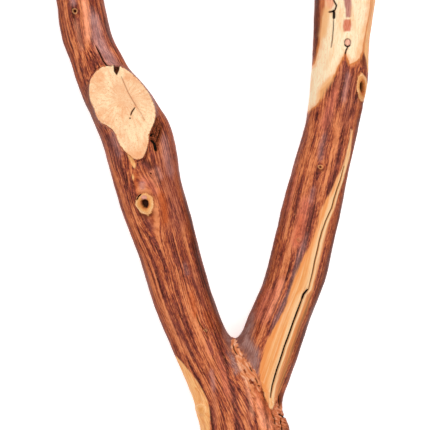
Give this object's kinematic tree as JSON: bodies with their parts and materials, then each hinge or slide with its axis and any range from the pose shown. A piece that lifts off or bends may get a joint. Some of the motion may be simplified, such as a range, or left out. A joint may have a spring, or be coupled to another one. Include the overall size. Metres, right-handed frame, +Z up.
{
  "type": "tree branch",
  "caption": "Forked tree branch with its bark off, smoothed and oiled, with a sawn side-branch stub, knots and sawn ends, lying on its side.",
  "frame": {"origin": "on the floor under the middle of the branch's box", "axes": "+Y runs along the branch from its stem towards its two limbs, +X towards the limb that is on the right in the picture, +Z up from the floor that it lies on"},
  "size_m": [0.2641, 0.4342, 0.062],
  "materials": {
    "oiled_wood": "peeled heartwood with pale sapwood patches, smoothed and oiled to a satin sheen"
  },
  "bodies": {
    "root": {"stem": "oiled_wood", "left_limb": "oiled_wood", "right_limb": "oiled_wood"}
  },
  "joints": []
}
